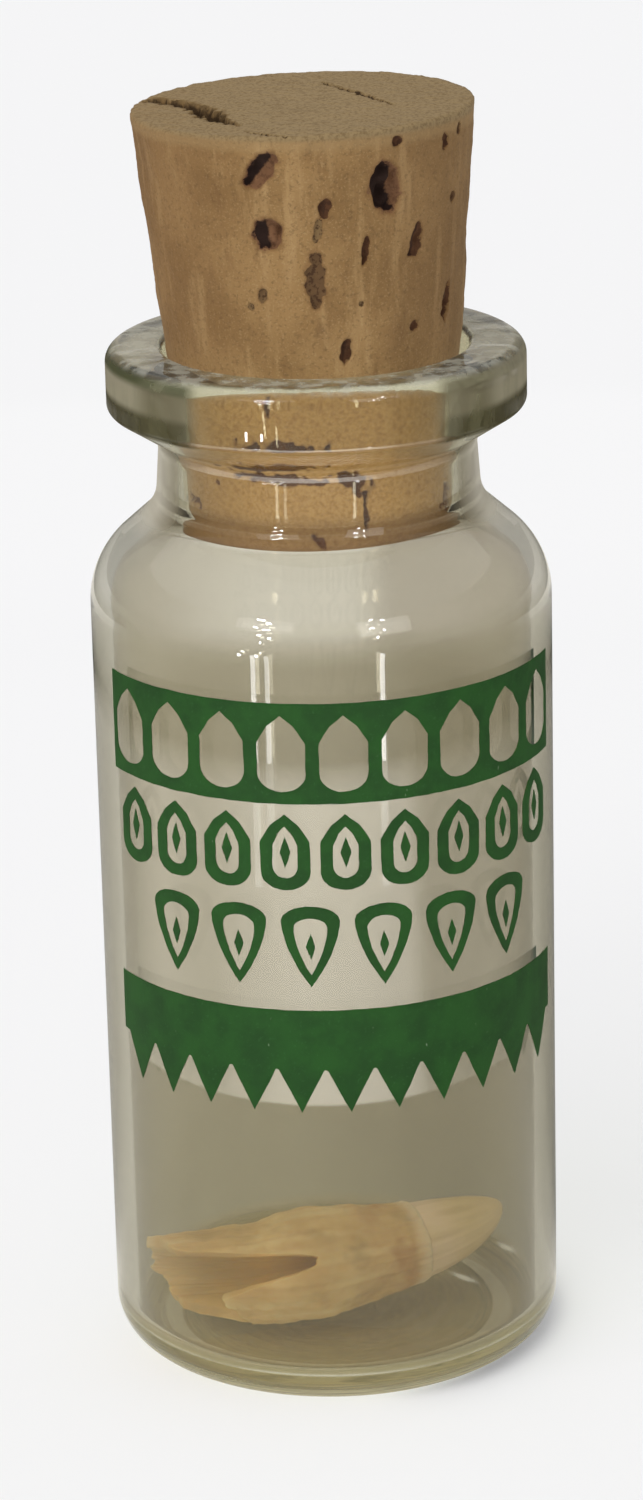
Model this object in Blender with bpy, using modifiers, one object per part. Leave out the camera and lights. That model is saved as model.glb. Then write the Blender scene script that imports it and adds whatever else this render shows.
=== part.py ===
"""An alligator tooth in a corked glass bottle, as sold for a keepsake, at life size.

The frame is in metres with +Z up. The origin is the centre of the foot ring that the bottle
stands on. -Y is the front of the bottle, and the open root of the tooth points to -X.
"""

import math

import bmesh
import bpy
from mathutils import Matrix, Vector
from mathutils.geometry import interpolate_bezier

MERGE = 1e-6
GAP = 0.0003

# Bottle: a 22 x 50 mm vial with a thick lip, a short neck and a round shoulder.
BODY_RADIUS = 0.0110
WALL = 0.0010
LIP_TOP = 0.05015
LIP_RADIUS = 0.0099
LIP_UNDERSIDE = 0.04725
NECK_RADIUS = 0.0075
NECK_TOP = 0.04571
NECK_FOOT_RADIUS = 0.00773
NECK_FOOT = 0.04254
SHOULDER_FOOT = 0.03967
BASE_CORNER = 0.00195
FOOT_RING_INNER = 0.0078
PUSH_UP = 0.00035
FLOOR = 0.00115
BORE_RADIUS = 0.0065
BORE_FOOT = 0.0422
BORE_FLARE = 0.0458
INNER_SHOULDER_FOOT = 0.03915
BOTTLE_STEPS = 64

# Cork: a tapered natural stopper, squeezed parallel where it sits in the neck.
CORK_TOP = 0.0614
CORK_FOOT = 0.0415
CORK_TOP_RADIUS = 0.00797
CORK_LIP_RADIUS = 0.00695
CORK_NECK_RADIUS = BORE_RADIUS - GAP
CORK_EDGE = 0.00025
CORK_LEAN = math.radians(-1.35)
CORK_STEPS = 64

# Tooth: one curved axis from the open root to the tip, lying across the floor of the bottle.
AXIS_START = Vector((-0.0096, -0.0029, 0.00385))
AXIS_HANDLE_1 = Vector((-0.0035, -0.0051, 0.0046))
AXIS_HANDLE_2 = Vector((0.0044, -0.0016, 0.0039))
AXIS_END = Vector((0.0085, 0.0018, 0.00505))
RIM_RADIUS = 0.00178
BELLY_RADIUS = 0.00287
BELLY_AT = 0.0079
COLLAR_RADIUS = 0.0021
COLLAR_AT = 0.0139
CROWN_RADIUS = 0.00195
ROOT_DEPTH_SHARE = 0.92
PULP_END = 0.0112
TOP_FLAT = 0.17
TOP_FLAT_AT = 0.0055
TOP_FLAT_REACH = 0.0022
RIM_WALL = 0.0005
WALL_GROWTH = 0.09
AROUND = 48


def clear_scene():
    for obj in list(bpy.data.objects):
        bpy.data.objects.remove(obj)


def collection(name):
    made = bpy.data.collections.new(name)
    bpy.context.scene.collection.children.link(made)
    return made


def linear(channel):
    return channel / 12.92 if channel <= 0.04045 else ((channel + 0.055) / 1.055) ** 2.4


def material(name, colour, roughness, metallic=0.0, transmission=0.0):
    """A Principled material from an sRGB hex colour."""
    made = bpy.data.materials.new(name)
    made.use_nodes = True
    shader = made.node_tree.nodes["Principled BSDF"]
    rgb = [linear(int(colour[i : i + 2], 16) / 255) for i in (0, 2, 4)]
    shader.inputs["Base Color"].default_value = (*rgb, 1.0)
    shader.inputs["Roughness"].default_value = roughness
    shader.inputs["Metallic"].default_value = metallic
    shader.inputs["Transmission Weight"].default_value = transmission
    made.diffuse_color = (*rgb, 1.0)
    return made


def add_object(name, mesh, into, finish):
    obj = bpy.data.objects.new(name, mesh)
    into.objects.link(obj)
    mesh.materials.append(finish)
    return obj


def rounded_outline(corners, arc_steps):
    """The points of an outline of (radius, height, fillet) corners, with each fillet as an arc."""
    points = [Vector(corners[0][:2])]
    for before, here, after in zip(corners, corners[1:], corners[2:]):
        corner = Vector(here[:2])
        back = (Vector(before[:2]) - corner).normalized()
        ahead = (Vector(after[:2]) - corner).normalized()
        half = back.angle(ahead) / 2
        fillet = here[2]
        if fillet == 0:
            points.append(corner)
            continue
        centre = corner + (back + ahead).normalized() * fillet / math.sin(half)
        start = corner + back * fillet / math.tan(half) - centre
        end = corner + ahead * fillet / math.tan(half) - centre
        turn = start.angle_signed(end)
        for step in range(arc_steps + 1):
            angle = -turn * step / arc_steps
            points.append(centre + Matrix.Rotation(angle, 2) @ start)
    points.append(Vector(corners[-1][:2]))
    return points


def turned(name, outline, steps, into, finish):
    """A solid of revolution about Z, from an outline that starts and ends on the axis."""
    mesh = bpy.data.meshes.new(name)
    points = [(p.x, 0.0, p.y) for p in outline]
    mesh.from_pydata(points, [(i, i + 1) for i in range(len(points) - 1)], [])
    obj = add_object(name, mesh, into, finish)
    screw = obj.modifiers.new("Turn", "SCREW")
    screw.steps = steps
    screw.render_steps = steps
    screw.use_merge_vertices = True
    screw.merge_threshold = MERGE
    screw.use_smooth_shade = True
    return obj


def bottle(into, finish):
    """Inner floor, up the inside, over the lip, down the outside and under to the push-up."""
    mouth_radius = CORK_LIP_RADIUS + GAP
    corners = [
        (0.0, FLOOR, 0.0),
        (BODY_RADIUS - WALL, FLOOR, 0.0012),
        (BODY_RADIUS - WALL, INNER_SHOULDER_FOOT, 0.0032),
        (BORE_RADIUS, BORE_FOOT, 0.0008),
        (BORE_RADIUS, BORE_FLARE, 0.0030),
        (mouth_radius, LIP_TOP, 0.0004),
        (LIP_RADIUS, LIP_TOP, 0.00073),
        (LIP_RADIUS, LIP_UNDERSIDE, 0.00042),
        (NECK_RADIUS, NECK_TOP, 0.0010),
        (NECK_FOOT_RADIUS, NECK_FOOT, 0.0021),
        (BODY_RADIUS, SHOULDER_FOOT, 0.0042),
        (BODY_RADIUS, 0.0, BASE_CORNER),
        (FOOT_RING_INNER, 0.0, 0.0),
        (FOOT_RING_INNER - 0.0008, PUSH_UP, 0.0006),
        (0.0, PUSH_UP, 0.0),
    ]
    return turned("bottle_glass", rounded_outline(corners, 4), BOTTLE_STEPS, into, finish)


def cork_radius(height):
    """The cork's radius at a height: parallel in the neck, then one straight taper to the top."""
    if height <= BORE_FLARE:
        return CORK_NECK_RADIUS
    if height <= LIP_TOP:
        share = (height - BORE_FLARE) / (LIP_TOP - BORE_FLARE)
        return CORK_NECK_RADIUS + (CORK_LIP_RADIUS - CORK_NECK_RADIUS) * share
    share = (height - LIP_TOP) / (CORK_TOP - LIP_TOP)
    return CORK_LIP_RADIUS + (CORK_TOP_RADIUS - CORK_LIP_RADIUS) * share


def dimple(name, centre, size, turn, into):
    """An ellipsoid cutter of the given full width, depth and height, turned by a matrix."""
    bpy.ops.mesh.primitive_uv_sphere_add(segments=12, ring_count=8, radius=0.5)
    cutter = bpy.context.object
    cutter.name = name
    for owner in list(cutter.users_collection):
        owner.objects.unlink(cutter)
    into.objects.link(cutter)
    cutter.matrix_world = (
        Matrix.Translation(centre) @ turn.to_4x4() @ Matrix.Diagonal((*size, 1.0))
    )
    cutter.hide_render = True
    cutter.display_type = "WIRE"
    return cutter


def cork_pits(into):
    """The lenticels that open on the cork's side, and the two splits in its top face."""
    # Each pit: degrees round from the front, height, width, length along the side, lean.
    front = (
        (-14.7, 0.0598, 0.0013, 0.0019, -40),
        (-13.6, 0.0569, 0.0014, 0.0016, 0),
        (28.0, 0.0587, 0.0017, 0.0024, 8),
        (32.3, 0.0606, 0.0006, 0.0005, 0),
        (5.4, 0.0577, 0.0006, 0.0018, -18),
        (2.2, 0.0547, 0.0010, 0.0025, 0),
        (20.5, 0.0559, 0.0004, 0.0012, -8),
        (41.1, 0.0559, 0.0008, 0.0017, -12),
        (55.1, 0.0602, 0.0005, 0.0009, 0),
        (60.7, 0.0533, 0.0007, 0.0018, -10),
        (12.5, 0.0514, 0.0006, 0.0012, -15),
        (13.3, 0.0449, 0.0013, 0.0012, 20),
    )
    # Behind, the pits follow the same sizes, one golden angle further round each time.
    golden = 137.5
    behind = [
        (118 + (k * golden) % 150, 0.0525 + 0.0011 * ((k * 5) % 7), *pit[2:])
        for k, pit in enumerate(front[:9])
    ]
    for k, (degrees, height, width, length, lean) in enumerate((*front, *behind)):
        angle = math.radians(degrees)
        radius = cork_radius(height)
        outward = Vector((math.sin(angle), -math.cos(angle), 0.0))
        turn = Matrix.Rotation(angle, 3, "Z") @ Matrix.Rotation(math.radians(lean), 3, "Y")
        depth = min(width, 0.0012) * 1.3
        dimple(f"cut_pit_{k}", outward * radius + Vector((0, 0, height)), (width, depth, length), turn, into)
    # Each split is a chain of slender cuts: centre, length, width, degrees round.
    splits = (
        ((-0.0056, 0.0009), 0.0036, 0.0006, -52),
        ((-0.0040, -0.0022), 0.0040, 0.0010, -72),
        ((-0.0031, -0.0043), 0.0022, 0.0005, -58),
        ((0.0026, 0.0017), 0.0064, 0.0004, -62),
    )
    for k, (centre, length, width, degrees) in enumerate(splits):
        turn = Matrix.Rotation(math.radians(degrees), 3, "Z")
        place = Vector((*centre, CORK_TOP))
        dimple(f"cut_split_{k}", place, (length, width, 0.0014), turn, into)


def cork(into, cutters, finish):
    corners = [
        (0.0, CORK_TOP, 0.0),
        (CORK_TOP_RADIUS, CORK_TOP, CORK_EDGE),
        (CORK_LIP_RADIUS, LIP_TOP, 0.0),
        (CORK_NECK_RADIUS, BORE_FLARE, 0.0),
        (CORK_NECK_RADIUS, CORK_FOOT, CORK_EDGE),
        (0.0, CORK_FOOT, 0.0),
    ]
    obj = turned("cork_stopper", rounded_outline(corners, 2), CORK_STEPS, into, finish)
    cork_pits(cutters)
    cut = obj.modifiers.new("Pits", "BOOLEAN")
    cut.operation = "DIFFERENCE"
    cut.solver = "EXACT"
    cut.operand_type = "COLLECTION"
    cut.collection = cutters
    # The stopper leans a little, about the middle of the neck, and its cutters lean with it.
    pivot = Vector((0.0, 0.0, (CORK_FOOT + LIP_TOP) / 2))
    lean = Matrix.Translation(pivot) @ Matrix.Rotation(CORK_LEAN, 4, "Y") @ Matrix.Translation(-pivot)
    for piece in (obj, *cutters.objects):
        piece.matrix_world = lean @ piece.matrix_world
    return obj


def eased(start, end, share):
    share = min(1.0, max(0.0, share))
    return start + (end - start) * share * share * (3 - 2 * share)


def tooth_axis(samples=120):
    """The tooth's axis as (distance from the root end, point) pairs."""
    points = interpolate_bezier(AXIS_START, AXIS_HANDLE_1, AXIS_HANDLE_2, AXIS_END, samples)
    found = [(0.0, points[0])]
    for before, here in zip(points, points[1:]):
        found.append((found[-1][0] + (here - before).length, here))
    return found


def axis_frame(axis, distance):
    """The point, and the directions up and towards the front, at a distance along the axis."""
    last = len(axis) - 2
    k = next((i for i in range(last) if axis[i + 1][0] > distance), last)
    (start, a), (end, b) = axis[k], axis[k + 1]
    along = (b - a).normalized()
    point = a + (b - a) * (distance - start) / (end - start)
    front = Vector((0, 0, 1)).cross(along).normalized() * -1
    up = along.cross(front) * -1
    return point, up, front


def root_radius(distance):
    """Half the root's height: slim at the rim, full at the belly, slim again at the collar."""
    if distance < BELLY_AT:
        return eased(RIM_RADIUS, BELLY_RADIUS, distance / BELLY_AT)
    return eased(BELLY_RADIUS, COLLAR_RADIUS, (distance - BELLY_AT) / (COLLAR_AT - BELLY_AT))


def bump(degrees, centre, reach_before, reach_after):
    """A smooth 0 to 1 to 0 swell round a centre angle."""
    off = (degrees - centre + 180) % 360 - 180
    return math.exp(-((off / (reach_before if off < 0 else reach_after)) ** 2))


def rim_at(angle):
    """Where the broken rim lies along the axis. The front and upper wall is lost far up the root."""
    degrees = math.degrees(angle)
    slope = 0.0015 * (1 + math.cos(math.radians(degrees - 105)))
    furrow = 0.0056 * bump(degrees, 60, 18, 26)
    notch = 0.0024 * bump(degrees, 150, 45, 22)
    ragged = 0.00016 * math.sin(5 * angle + 0.7) + 0.00012 * math.sin(9 * angle + 2.1)
    return 0.0002 + slope + notch + furrow + ragged + 0.00007 * math.sin(14 * angle + 4.0)


def ring_point(axis, distance, angle, radius):
    """A point round the axis. Angle 0 is up and a quarter turn is towards the front."""
    point, up, front = axis_frame(axis, distance)
    flutes = 1 + 0.018 * math.cos(3 * angle + 1.0) + 0.012 * math.cos(7 * angle + distance * 300)
    flat = math.exp(-(((distance - TOP_FLAT_AT) / TOP_FLAT_REACH) ** 2)) * bump(math.degrees(angle), 5, 60, 50)
    reach = radius * flutes * (1 - TOP_FLAT * flat)
    return point + up * reach * math.cos(angle) + front * reach * ROOT_DEPTH_SHARE * math.sin(angle)


def loft(name, rings, into, finish):
    """A closed solid through rings of equal length. A ring of one point closes an end."""
    work = bmesh.new()
    made = [[work.verts.new(p) for p in ring] for ring in rings]
    for first, second in zip(made, made[1:]):
        for k in range(AROUND):
            n = (k + 1) % AROUND
            corners = [first[k % len(first)], first[n % len(first)], second[n % len(second)], second[k % len(second)]]
            work.faces.new(list(dict.fromkeys(corners)))
    bmesh.ops.recalc_face_normals(work, faces=work.faces)
    mesh = bpy.data.meshes.new(name)
    work.to_mesh(mesh)
    work.free()
    mesh.shade_smooth()
    mesh.set_sharp_from_angle(angle=math.radians(50))
    return add_object(name, mesh, into, finish)


def tooth_root(axis, into, finish):
    """The hollow root: its outside from the collar to the rim, then the cone of the pulp cavity."""
    angles = [2 * math.pi * k / AROUND for k in range(AROUND)]
    face_at = COLLAR_AT + 0.0001
    rings = [
        [axis_frame(axis, face_at)[0]],
        [ring_point(axis, face_at, a, CROWN_RADIUS * 0.98) for a in angles],
        [ring_point(axis, COLLAR_AT - 0.0002, a, COLLAR_RADIUS) for a in angles],
    ]
    outer_steps = 22
    for step in range(1, outer_steps + 1):
        share = step / outer_steps
        ring = []
        for angle in angles:
            rim = rim_at(angle)
            distance = (COLLAR_AT - 0.0002) * (1 - share) + rim * share
            ring.append(ring_point(axis, distance, angle, root_radius(distance)))
        rings.append(ring)
    inner_steps = 14
    for step in range(inner_steps):
        share = step / inner_steps
        ring = []
        for angle in angles:
            rim = rim_at(angle)
            distance = rim + (PULP_END - rim) * share
            wall = RIM_WALL + WALL_GROWTH * (distance - rim)
            closing = (1 - share) ** 0.7
            ring.append(ring_point(axis, distance, angle, (root_radius(distance) - wall) * closing))
        rings.append(ring)
    rings.append([axis_frame(axis, PULP_END)[0]])
    return loft("tooth_root", rings, into, finish)


def tooth_crown(axis, into, finish):
    """The solid crown: a blunt cone, cut clear of the root by the usual gap."""
    angles = [2 * math.pi * k / AROUND for k in range(AROUND)]
    start = COLLAR_AT + 0.0001 + GAP
    length = axis[-1][0] - start
    rings = [[axis_frame(axis, start)[0]]]
    steps = 12
    for step in range(steps):
        share = math.sin(step / steps * math.pi / 2)
        radius = CROWN_RADIUS * (1 - share**1.6) ** 0.6
        rings.append([ring_point(axis, start + length * share, a, radius) for a in angles])
    rings.append([axis[-1][1]])
    return loft("tooth_crown", rings, into, finish)


def main():
    clear_scene()
    parts = collection("tooth_in_bottle")
    cutters = collection("cutters")
    glass = material("soda_lime_glass", "DDE3D8", 0.02, transmission=1.0)
    bark = material("natural_cork", "A9835A", 0.85)
    cementum = material("root_cementum", "C0A673", 0.6)
    enamel = material("crown_enamel", "CDBD98", 0.35)
    bottle(parts, glass)
    cork(parts, cutters, bark)
    axis = tooth_axis()
    tooth_root(axis, parts, cementum)
    tooth_crown(axis, parts, enamel)


main()
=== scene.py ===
"""Looks for an alligator tooth kept in a corked glass bottle.

Everything is in metres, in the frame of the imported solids: +Z up, the front at -Y, and the
bottle's axis at the origin. Sizes that a maker would give in millimetres are written as n * MM.
"""

import math
from functools import partial, reduce

import bpy
import numpy as np
from mathutils import Euler, Matrix, Vector
from mathutils.geometry import interpolate_bezier


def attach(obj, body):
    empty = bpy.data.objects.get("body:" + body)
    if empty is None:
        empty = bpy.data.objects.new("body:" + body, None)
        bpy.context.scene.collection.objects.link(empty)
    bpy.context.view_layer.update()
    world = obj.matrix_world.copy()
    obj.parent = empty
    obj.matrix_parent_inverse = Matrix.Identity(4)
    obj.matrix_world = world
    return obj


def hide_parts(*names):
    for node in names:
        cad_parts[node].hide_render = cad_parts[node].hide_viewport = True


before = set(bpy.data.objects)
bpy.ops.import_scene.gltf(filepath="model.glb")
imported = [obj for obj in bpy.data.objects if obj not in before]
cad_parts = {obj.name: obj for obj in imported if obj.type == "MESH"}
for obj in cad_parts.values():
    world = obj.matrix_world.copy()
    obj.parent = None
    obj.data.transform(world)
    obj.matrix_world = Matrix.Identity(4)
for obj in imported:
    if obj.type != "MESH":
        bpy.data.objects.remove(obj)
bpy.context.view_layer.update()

MM = 0.001

# Bottle, in millimetres
BODY_RADIUS = 11.0
WALL = 1.0
LIP_TOP = 50.15
CORK_LIP_RADIUS = 6.95
BORE_RADIUS = 6.5
GAP = 0.3

# Cork, in millimetres
CORK_TOP = 61.4
CORK_FOOT = 41.5
CORK_TOP_RADIUS = 7.97
BORE_FLARE = 45.8
CORK_LEAN = math.radians(-1.35)
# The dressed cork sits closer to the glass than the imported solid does, as a pressed cork would.
NECK_GAP = 0.14

# Tooth, in millimetres
AXIS = ((-9.6, -2.9, 3.85), (-3.5, -5.1, 4.6), (4.4, -1.6, 3.9), (8.5, 1.8, 5.05))
RIM_RADIUS = 1.78
BELLY_RADIUS = 2.87
BELLY_AT = 7.9
COLLAR_RADIUS = 2.1
COLLAR_AT = 13.9
CROWN_RADIUS = 1.95
ROOT_DEPTH_SHARE = 0.92
PULP_END = 11.2
TOP_FLAT = 0.17
TOP_FLAT_AT = 5.5
TOP_FLAT_REACH = 2.2


# Helpers


def srgb(code):
    """A linear colour from an sRGB hex code."""
    channels = [int(code[i : i + 2], 16) / 255 for i in (0, 2, 4)]
    return tuple(c / 12.92 if c <= 0.04045 else ((c + 0.055) / 1.055) ** 2.4 for c in channels) + (1.0,)


# Nodes that are used often: Blender's name, the inputs in order, the output and the settings.
KINDS = {
    "noise": ("ShaderNodeTexNoise", ("Vector", "Scale", "Detail", "Roughness"), "Fac", {}),
    "spread": ("ShaderNodeMapRange", ("Value", "From Min", "From Max", "To Min", "To Max"), "Result",
               {"interpolation_type": "SMOOTHSTEP"}),
    "mix": ("ShaderNodeMix", (0, 6, 7), 2, {"data_type": "RGBA"}),
    "layer": ("ShaderNodeMixShader", (0, 1, 2), 0, {}),
    "point": ("ShaderNodeCombineXYZ", (0, 1, 2), 0, {}),
    "attribute": ("ShaderNodeAttribute", (), "Fac", {}),
}
SUMS = "add subtract multiply divide power sqrt absolute maximum round sine cosine arctan2"
for word in SUMS.split():
    KINDS[word] = ("ShaderNodeMath", (0, 1), 0, {"operation": word.upper()})


def feed(socket, value):
    """Sets a socket to a value or to the colour of a hex code, or links it to another socket."""
    if isinstance(value, bpy.types.NodeSocket):
        socket.id_data.links.new(value, socket)
    elif isinstance(value, str):
        socket.default_value = srgb(value)
    else:
        socket.default_value = value


def add(tree, kind, *inputs, **settings):
    """Adds a node and returns its output. The inputs of KINDS are given in order, and others by name."""
    name, order, output, ready = KINDS.get(kind, (kind, (), 0, {}))
    made = tree.nodes.new(name)
    for key, value in {**ready, **settings}.items():
        setattr(made, key, value)
    for key, value in (zip(order, inputs) if order else dict(*inputs).items()):
        feed(made.inputs[key], value)
    return made.outputs[output] if made.outputs else None


def finish_named(name, **values):
    """A Principled material, add for its tree, and its shader. values are sockets, with _ for a space."""
    made = bpy.data.materials.new(name)
    made.use_nodes = True
    shader = made.node_tree.nodes["Principled BSDF"]
    for socket, value in values.items():
        feed(shader.inputs[socket.replace("_", " ")], value)
    return made, partial(add, made.node_tree), shader


def in_millimetres(put, scale=(1, 1, 1)):
    """The object's own coordinates, so that a pattern's scale is in repeats for each millimetre."""
    where = put("ShaderNodeTexCoord").node.outputs["Object"]
    return put("ShaderNodeMapping", {"Vector": where, "Scale": [s / MM for s in scale]})


def washed(put, base, *washes):
    """A colour with others washed over it, each where a pattern lies: pattern, low, high, share, colour."""
    for pattern, low, high, share, colour in washes:
        base = put("mix", put("spread", pattern, low, high, 0.0, share), base, colour)
    return base


def within(put, *ramps):
    """The product of smooth ramps: pattern, low, high, and what they stand for if not 0 and 1."""
    return reduce(partial(put, "multiply"), [put("spread", *ramp) for ramp in ramps])


def filmed(put, surface, share, colour):
    """A surface with a dull layer over a share of it, used for films and for painted light and shade."""
    return put("layer", share, surface, put("ShaderNodeBsdfDiffuse", {"Color": colour}))


def pass_light(put, made, surface, clear, share=1.0):
    """Ends a material whose surface lets a share of the light and shadow rays straight through."""
    path = put("ShaderNodeLightPath").node.outputs
    passing = put("multiply", put("maximum", path["Is Shadow Ray"], path["Is Diffuse Ray"]), share)
    feed(made.node_tree.nodes["Material Output"].inputs["Surface"], put("layer", passing, surface, clear))


def growing_tree(name, output, inputs):
    """A geometry node tree with its output and its inputs (name, type, default), and add for it."""
    tree = bpy.data.node_groups.new(name, "GeometryNodeTree")
    for label, kind, value in inputs:
        socket = tree.interface.new_socket(label, in_out="INPUT", socket_type="NodeSocket" + kind)
        if value is not None:
            socket.default_value = value
    tree.interface.new_socket(output, in_out="OUTPUT", socket_type="NodeSocketGeometry")
    return tree, partial(add, tree)


def placed(name, data):
    made = bpy.data.objects.new(name, data)
    bpy.context.scene.collection.objects.link(made)
    return made


def mesh_object(name, points, faces, finish, smooth=True, values=None):
    """A piece from an array of points in metres and its faces, with per-point values to shade by."""
    mesh = bpy.data.meshes.new(name)
    mesh.from_pydata([tuple(p) for p in points], [], faces)
    mesh.validate()
    for key, data in (values or {}).items():
        layer = mesh.attributes.new(key, "FLOAT", "POINT")
        layer.data.foreach_set("value", np.asarray(data, np.float32))
    if smooth:
        mesh.shade_smooth()
    mesh.materials.append(finish)
    return placed(name, mesh)


def woven_faces(rings, around):
    """The quads that join rings of points, ring after ring, with a fan on the first and last point."""
    faces = []
    for k in range(around):
        n = (k + 1) % around
        faces.append((0, 1 + n, 1 + k))
        for ring in range(rings - 1):
            start = 1 + ring * around
            faces.append((start + k, start + n, start + around + n, start + around + k))
        last = 1 + (rings - 1) * around
        faces.append((last + k, last + n, last + around))
    return faces


def eased(value, low, high):
    """0 below low, 1 above high, and smooth between. It works on arrays too."""
    share = np.clip((value - low) / (high - low), 0.0, 1.0)
    return share * share * (3 - 2 * share)


class Lumps:
    """Smooth random lumps in space, from a fixed set of waves, so they are the same each run."""

    def __init__(self, seed, size, waves=24):
        draw = np.random.default_rng(seed)
        directions = draw.normal(size=(waves, 3))
        directions /= np.linalg.norm(directions, axis=1)[:, None]
        self.turns = directions * (2 * math.pi / size) * draw.uniform(0.6, 1.6, (waves, 1))
        self.starts = draw.uniform(0, 2 * math.pi, waves)

    def at(self, points):
        """Between about -1 and 1 at each point."""
        total = np.zeros(len(points))
        for turn, start in zip(self.turns, self.starts):
            total += np.sin(points @ turn + start)
        return total / math.sqrt(len(self.starts))


# Camera and studio. The photograph was taken from 235 mm away, looking 18.7 degrees down.

EYE = Vector((0.0, -0.2119, 0.1016))
PITCH = math.radians(18.71)
ROLL = math.radians(-1.33)
FOCAL_PIXELS = 4633.0
PHOTO_HEIGHT = 1500.0
OFF_CENTRE_PIXELS = 3.3
PANES_AWAY = 0.5
FRAMES_AWAY = 0.075
TABLE_GLOW = 7.2
# How bright the table is at each azimuth from the front, as a share of TABLE_GLOW.
TABLE_BRIGHT = (
    (-180, 0.06), (-130, 0.07), (-110, 0.13), (-84, 0.45), (-56, 0.50), (-34, 0.80), (-12, 0.97), (12, 0.92),
    (28, 0.82), (37, 0.76), (46, 0.36), (80, 0.27), (107, 0.10), (130, 0.035), (180, 0.03),
)


def place_camera():
    lens = bpy.data.cameras.new("photo_lens")
    lens.sensor_fit = "VERTICAL"
    lens.sensor_height = 36.0
    lens.lens = FOCAL_PIXELS / PHOTO_HEIGHT * 36.0
    lens.clip_start = 0.005
    lens.shift_x = -OFF_CENTRE_PIXELS / PHOTO_HEIGHT
    camera = placed("photo_camera", lens)
    aim = Euler((math.pi / 2 - PITCH, 0, 0)).to_matrix() @ Matrix.Rotation(ROLL, 3, "Z")
    camera.matrix_world = Matrix.Translation(EYE) @ aim.to_4x4()
    bpy.context.scene.camera = camera


def hide_from(made, *rays):
    for kind in rays:
        setattr(made, "visible_" + kind, False)


def place_floor():
    """A wide plain white table, 6 m square."""
    paint = finish_named("white_table_paint", Base_Color="F3F3F4", Roughness=0.9, Specular_IOR_Level=0.1)[0]
    half = 3.0
    points = [(-half, -half, 0), (half, -half, 0), (half, half, 0), (-half, half, 0)]
    mesh_object("table", points, [(0, 1, 2, 3)], paint, smooth=False)


def glint(name, towards, distance, size, power, low=0.03):
    """A lamp that only shines in the glass, like a window in the room, at an azimuth and elevation."""
    azimuth, elevation = map(math.radians, towards)
    lamp = bpy.data.lights.new(name, "AREA")
    lamp.shape = "RECTANGLE"
    lamp.size, lamp.size_y = size
    lamp.energy = power
    made = placed(name, lamp)
    aim = Vector((0, 0, low))
    flat = math.cos(elevation)
    away = distance * Vector((math.sin(azimuth) * flat, -math.cos(azimuth) * flat, math.sin(elevation)))
    made.matrix_world = Matrix.Translation(aim + away) @ away.to_track_quat("Z", "Y").to_matrix().to_4x4()
    hide_from(made, "camera", "diffuse")


def mirrored_table():
    """The table as only the glass mirrors it: in the bottle's shade close by, then sunlit, then dim."""
    made = bpy.data.materials.new("mirrored_table")
    made.use_nodes = True
    tree = made.node_tree
    tree.nodes.remove(tree.nodes["Principled BSDF"])
    put = partial(add, tree)
    power = put("multiply", put("attribute", attribute_name="bright"), TABLE_GLOW)
    glow = put("ShaderNodeEmission", {"Color": "FFFBF2", "Strength": power})
    feed(tree.nodes["Material Output"].inputs["Surface"], glow)
    turns = np.arange(-180.0, 181.0, 4.0)
    azimuths, shares = zip(*TABLE_BRIGHT)
    sunlit = np.interp(turns, azimuths, shares)
    shaded = np.minimum(sunlit, 0.125)
    far = sunlit * 0.12
    beside = np.maximum(far, 0.12 * eased(np.abs(turns), 90, 125))
    dim = 0.09 - 0.06 * eased(np.abs(turns), 60, 100) * (1 - eased(np.abs(turns), 166, 172))
    # Radius and height of each ring, and how bright it is. The last stands for the walls of the room.
    rings = (
        (11.3, 0.2, shaded), (45.4, 0.2, shaded), (45.9, 0.2, sunlit), (103, 0.2, sunlit), (113, 0.2, far),
        (139, 0.2, beside), (183, 0.2, beside), (190, 0.2, far), (600, 0.2, dim), (600, 420, dim),
    )
    points = []
    bright = []
    for radius, height, shares in rings:
        for degrees, share in zip(turns, shares):
            turn = math.radians(degrees)
            points.append((radius * MM * math.sin(turn), -radius * MM * math.cos(turn), height * MM))
            bright.append(share)
    around = len(turns)
    faces = []
    for ring in range(len(rings) - 1):
        for k in range(around - 1):
            corner = ring * around + k
            faces.append((corner, corner + around, corner + around + 1, corner + 1))
    card = mesh_object("mirrored_table", points, faces, made, smooth=False, values={"bright": bright})
    hide_from(card, "camera", "diffuse", "transmission", "shadow")


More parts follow.
